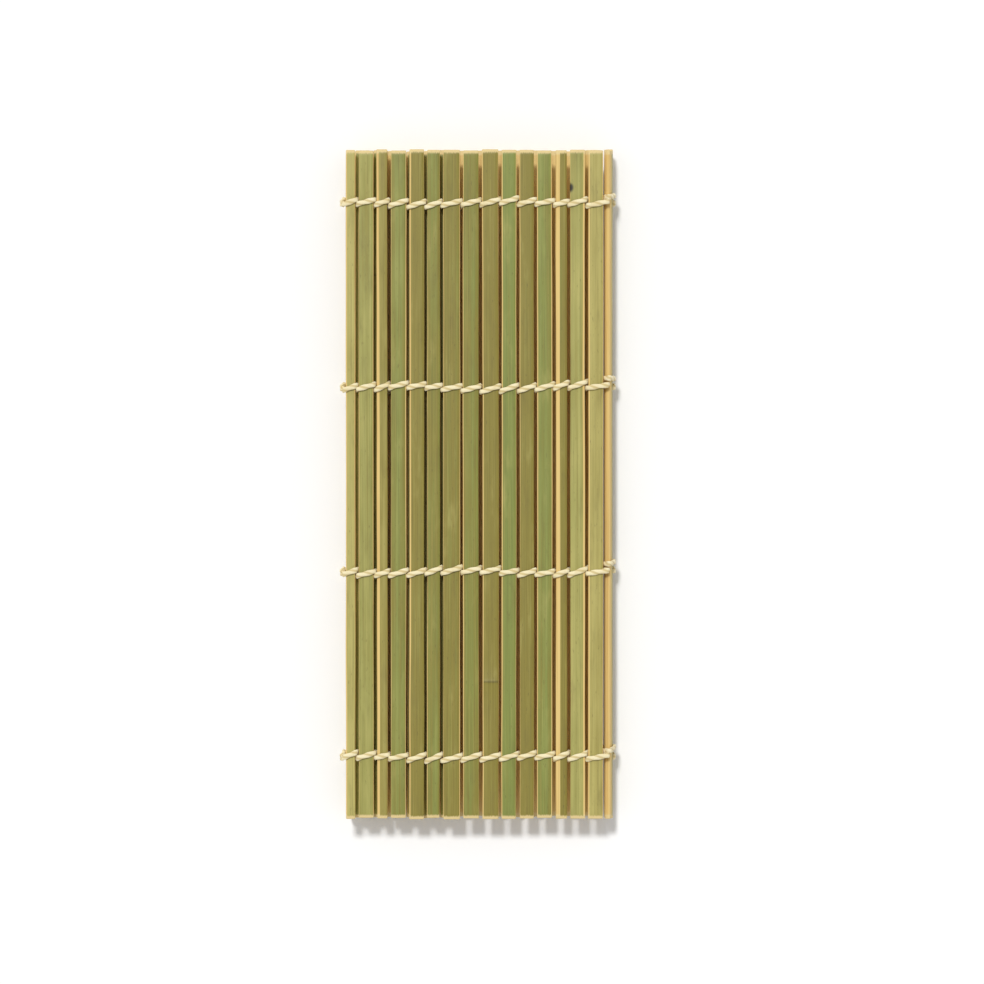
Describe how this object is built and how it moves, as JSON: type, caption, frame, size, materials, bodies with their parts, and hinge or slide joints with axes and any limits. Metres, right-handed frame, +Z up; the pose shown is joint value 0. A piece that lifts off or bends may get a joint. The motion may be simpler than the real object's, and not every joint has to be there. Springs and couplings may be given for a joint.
{
  "type": "sushi rolling mat",
  "caption": "Bamboo slat mat for rolling sushi, twined with cotton cord and folded flat for storage; it unfolds and rolls up.",
  "frame": {"origin": "centre of the folded mat's box, on the surface that it lies on", "axes": "+X across the slats, towards the fold that shows at the right; +Y along the slats; +Z up, the way the front panel's green skin faces"},
  "size_m": [0.087, 0.21, 0.0148],
  "materials": {
    "bamboo": "split bamboo, green skin on one face, pale wood on the edges and the rounded side, matt",
    "cotton_cord": "twisted cream cotton, matt"
  },
  "bodies": {
    "slat_01": {"slat_01": "bamboo", "outer_edge_knots": "cotton_cord"},
    "slat_02": {"slat_02": "bamboo"},
    "slat_03": {"slat_03": "bamboo"},
    "slat_04": {"slat_04": "bamboo"},
    "slat_05": {"slat_05": "bamboo"},
    "slat_06": {"slat_06": "bamboo"},
    "slat_07": {"slat_07": "bamboo"},
    "slat_08": {"slat_08": "bamboo"},
    "slat_09": {"slat_09": "bamboo"},
    "slat_10": {"slat_10": "bamboo"},
    "slat_11": {"slat_11": "bamboo"},
    "slat_12": {"slat_12": "bamboo"},
    "slat_13": {"slat_13": "bamboo"},
    "slat_14": {"slat_14": "bamboo"},
    "slat_15": {"slat_15": "bamboo"},
    "slat_16": {"slat_16": "bamboo"},
    "slat_17": {"slat_17": "bamboo"},
    "slat_18": {"slat_18": "bamboo"},
    "slat_19": {"slat_19": "bamboo"},
    "slat_20": {"slat_20": "bamboo"},
    "slat_21": {"slat_21": "bamboo"},
    "slat_22": {"slat_22": "bamboo"},
    "slat_23": {"slat_23": "bamboo"},
    "slat_24": {"slat_24": "bamboo", "cord_1_first_strand": "cotton_cord", "cord_1_second_strand": "cotton_cord", "cord_2_first_strand": "cotton_cord", "cord_2_second_strand": "cotton_cord", "cord_3_first_strand": "cotton_cord", "cord_3_second_strand": "cotton_cord", "cord_4_first_strand": "cotton_cord", "cord_4_second_strand": "cotton_cord"},
    "slat_25": {"slat_25": "bamboo"},
    "slat_26": {"slat_26": "bamboo"},
    "slat_27": {"slat_27": "bamboo"},
    "slat_28": {"slat_28": "bamboo"},
    "slat_29": {"slat_29": "bamboo"},
    "slat_30": {"slat_30": "bamboo"},
    "slat_31": {"slat_31": "bamboo"},
    "slat_32": {"slat_32": "bamboo"},
    "slat_33": {"slat_33": "bamboo"},
    "slat_34": {"slat_34": "bamboo"},
    "slat_35": {"slat_35": "bamboo"},
    "slat_36": {"slat_36": "bamboo"},
    "slat_37": {"slat_37": "bamboo"},
    "slat_38": {"slat_38": "bamboo", "inner_edge_knots": "cotton_cord"}
  },
  "joints": [
    {"name": "roll_front", "type": "hinge", "parent": "slat_15", "child": "slat_14", "pos_m": [0.03411, 0, 0.01278], "axis": [0, 1, 0], "range_deg": [0, 22]},
    {"name": "hinge_13", "type": "hinge", "parent": "slat_14", "child": "slat_13", "pos_m": [0.02845, 0, 0.01278], "axis": [0, 1, 0], "range_deg": [0, 22]},
    {"name": "hinge_12", "type": "hinge", "parent": "slat_13", "child": "slat_12", "pos_m": [0.02388, 0, 0.01278], "axis": [0, 1, 0], "range_deg": [0, 22]},
    {"name": "hinge_11", "type": "hinge", "parent": "slat_12", "child": "slat_11", "pos_m": [0.01809, 0, 0.01278], "axis": [0, 1, 0], "range_deg": [0, 22]},
    {"name": "hinge_10", "type": "hinge", "parent": "slat_11", "child": "slat_10", "pos_m": [0.0126, 0, 0.01278], "axis": [0, 1, 0], "range_deg": [0, 22]},
    {"name": "hinge_09", "type": "hinge", "parent": "slat_10", "child": "slat_09", "pos_m": [0.00694, 0, 0.01278], "axis": [0, 1, 0], "range_deg": [0, 22]},
    {"name": "hinge_08", "type": "hinge", "parent": "slat_09", "child": "slat_08", "pos_m": [0.00083, 0, 0.01278], "axis": [0, 1, 0], "range_deg": [0, 22]},
    {"name": "hinge_07", "type": "hinge", "parent": "slat_08", "child": "slat_07", "pos_m": [-0.00514, 0, 0.01278], "axis": [0, 1, 0], "range_deg": [0, 22]},
    {"name": "hinge_06", "type": "hinge", "parent": "slat_07", "child": "slat_06", "pos_m": [-0.01142, 0, 0.01278], "axis": [0, 1, 0], "range_deg": [0, 22]},
    {"name": "hinge_05", "type": "hinge", "parent": "slat_06", "child": "slat_05", "pos_m": [-0.01647, 0, 0.01278], "axis": [0, 1, 0], "range_deg": [0, 22]},
    {"name": "hinge_04", "type": "hinge", "parent": "slat_05", "child": "slat_04", "pos_m": [-0.02213, 0, 0.01278], "axis": [0, 1, 0], "range_deg": [0, 22]},
    {"name": "hinge_03", "type": "hinge", "parent": "slat_04", "child": "slat_03", "pos_m": [-0.02793, 0, 0.01278], "axis": [0, 1, 0], "range_deg": [0, 22]},
    {"name": "hinge_02", "type": "hinge", "parent": "slat_03", "child": "slat_02", "pos_m": [-0.03232, 0, 0.01278], "axis": [0, 1, 0], "range_deg": [0, 22]},
    {"name": "hinge_01", "type": "hinge", "parent": "slat_02", "child": "slat_01", "pos_m": [-0.03798, 0, 0.01278], "axis": [0, 1, 0], "range_deg": [0, 22]},
    {"name": "unfold", "type": "hinge", "parent": "slat_15", "child": "slat_16", "pos_m": [0.04018, 0, 0.01278], "axis": [0, -1, 0], "range_deg": [0, 75], "deforming": ["cord_1_first_strand", "cord_1_second_strand", "cord_2_first_strand", "cord_2_second_strand", "cord_3_first_strand", "cord_3_second_strand", "cord_4_first_strand", "cord_4_second_strand"]},
    {"name": "hinge_16", "type": "hinge", "parent": "slat_16", "child": "slat_17", "pos_m": [0.04162, 0, 0.00739], "axis": [0, -1, 0], "range_deg": [0, 30]},
    {"name": "hinge_17", "type": "hinge", "parent": "slat_17", "child": "slat_18", "pos_m": [0.04018, 0, 0.002], "axis": [0, -1, 0], "range_deg": [0, 75]},
    {"name": "roll_back", "type": "hinge", "parent": "slat_18", "child": "slat_19", "pos_m": [0.03341, 0, 0.002], "axis": [0, -1, 0], "range_deg": [0, 15]},
    {"name": "hinge_19", "type": "hinge", "parent": "slat_19", "child": "slat_20", "pos_m": [0.02713, 0, 0.002], "axis": [0, -1, 0], "range_deg": [0, 15]},
    {"name": "hinge_20", "type": "hinge", "parent": "slat_20", "child": "slat_21", "pos_m": [0.0212, 0, 0.002], "axis": [0, -1, 0], "range_deg": [0, 15]},
    {"name": "hinge_21", "type": "hinge", "parent": "slat_21", "child": "slat_22", "pos_m": [0.01527, 0, 0.002], "axis": [0, -1, 0], "range_deg": [0, 15]},
    {"name": "hinge_22", "type": "hinge", "parent": "slat_22", "child": "slat_23", "pos_m": [0.00987, 0, 0.002], "axis": [0, -1, 0], "range_deg": [0, 15]},
    {"name": "hinge_23", "type": "hinge", "parent": "slat_23", "child": "slat_24", "pos_m": [0.00456, 0, 0.002], "axis": [0, -1, 0], "range_deg": [0, 15]},
    {"name": "hinge_24", "type": "hinge", "parent": "slat_24", "child": "slat_25", "pos_m": [-0.00128, 0, 0.002], "axis": [0, -1, 0], "range_deg": [0, 15]},
    {"name": "hinge_25", "type": "hinge", "parent": "slat_25", "child": "slat_26", "pos_m": [-0.00703, 0, 0.002], "axis": [0, -1, 0], "range_deg": [0, 15]},
    {"name": "hinge_26", "type": "hinge", "parent": "slat_26", "child": "slat_27", "pos_m": [-0.01278, 0, 0.002], "axis": [0, -1, 0], "range_deg": [0, 15]},
    {"name": "hinge_27", "type": "hinge", "parent": "slat_27", "child": "slat_28", "pos_m": [-0.01774, 0, 0.002], "axis": [0, -1, 0], "range_deg": [0, 15]},
    {"name": "hinge_28", "type": "hinge", "parent": "slat_28", "child": "slat_29", "pos_m": [-0.02314, 0, 0.002], "axis": [0, -1, 0], "range_deg": [0, 15]},
    {"name": "hinge_29", "type": "hinge", "parent": "slat_29", "child": "slat_30", "pos_m": [-0.02916, 0, 0.002], "axis": [0, -1, 0], "range_deg": [0, 15]},
    {"name": "hinge_30", "type": "hinge", "parent": "slat_30", "child": "slat_31", "pos_m": [-0.03359, 0, 0.002], "axis": [0, -1, 0], "range_deg": [0, 15]},
    {"name": "hinge_31", "type": "hinge", "parent": "slat_31", "child": "slat_32", "pos_m": [-0.03957, 0, 0.002], "axis": [0, -1, 0], "range_deg": [0, 90]},
    {"name": "hinge_32", "type": "hinge", "parent": "slat_32", "child": "slat_33", "pos_m": [-0.03957, 0, 0.00794], "axis": [0, -1, 0], "range_deg": [0, 90]},
    {"name": "hinge_33", "type": "hinge", "parent": "slat_33", "child": "slat_34", "pos_m": [-0.03342, 0, 0.00794], "axis": [0, -1, 0], "range_deg": [0, 4]},
    {"name": "hinge_34", "type": "hinge", "parent": "slat_34", "child": "slat_35", "pos_m": [-0.02793, 0, 0.00794], "axis": [0, -1, 0], "range_deg": [0, 4]},
    {"name": "hinge_35", "type": "hinge", "parent": "slat_35", "child": "slat_36", "pos_m": [-0.02306, 0, 0.00794], "axis": [0, -1, 0], "range_deg": [0, 4]},
    {"name": "hinge_36", "type": "hinge", "parent": "slat_36", "child": "slat_37", "pos_m": [-0.01788, 0, 0.00794], "axis": [0, -1, 0], "range_deg": [0, 4]},
    {"name": "hinge_37", "type": "hinge", "parent": "slat_37", "child": "slat_38", "pos_m": [-0.0127, 0, 0.00794], "axis": [0, -1, 0], "range_deg": [0, 4]}
  ],
  "couplings": [
    {"joint": "hinge_13", "follows": "roll_front", "ratio": 1},
    {"joint": "hinge_12", "follows": "roll_front", "ratio": 1},
    {"joint": "hinge_11", "follows": "roll_front", "ratio": 1},
    {"joint": "hinge_10", "follows": "roll_front", "ratio": 1},
    {"joint": "hinge_09", "follows": "roll_front", "ratio": 1},
    {"joint": "hinge_08", "follows": "roll_front", "ratio": 1},
    {"joint": "hinge_07", "follows": "roll_front", "ratio": 1},
    {"joint": "hinge_06", "follows": "roll_front", "ratio": 1},
    {"joint": "hinge_05", "follows": "roll_front", "ratio": 1},
    {"joint": "hinge_04", "follows": "roll_front", "ratio": 1},
    {"joint": "hinge_03", "follows": "roll_front", "ratio": 1},
    {"joint": "hinge_02", "follows": "roll_front", "ratio": 1},
    {"joint": "hinge_01", "follows": "roll_front", "ratio": 1},
    {"joint": "hinge_16", "follows": "unfold", "ratio": 0.4},
    {"joint": "hinge_17", "follows": "unfold", "ratio": 1},
    {"joint": "hinge_19", "follows": "roll_back", "ratio": 1},
    {"joint": "hinge_20", "follows": "roll_back", "ratio": 1},
    {"joint": "hinge_21", "follows": "roll_back", "ratio": 1},
    {"joint": "hinge_22", "follows": "roll_back", "ratio": 1},
    {"joint": "hinge_23", "follows": "roll_back", "ratio": 1},
    {"joint": "hinge_24", "follows": "roll_back", "ratio": 1},
    {"joint": "hinge_25", "follows": "roll_back", "ratio": 1},
    {"joint": "hinge_26", "follows": "roll_back", "ratio": 1},
    {"joint": "hinge_27", "follows": "roll_back", "ratio": 1},
    {"joint": "hinge_28", "follows": "roll_back", "ratio": 1},
    {"joint": "hinge_29", "follows": "roll_back", "ratio": 1},
    {"joint": "hinge_30", "follows": "roll_back", "ratio": 1},
    {"joint": "hinge_31", "follows": "unfold", "ratio": 1.2},
    {"joint": "hinge_32", "follows": "unfold", "ratio": 1.2},
    {"joint": "hinge_33", "follows": "unfold", "ratio": 0.053333},
    {"joint": "hinge_34", "follows": "unfold", "ratio": 0.053333},
    {"joint": "hinge_35", "follows": "unfold", "ratio": 0.053333},
    {"joint": "hinge_36", "follows": "unfold", "ratio": 0.053333},
    {"joint": "hinge_37", "follows": "unfold", "ratio": 0.053333}
  ]
}
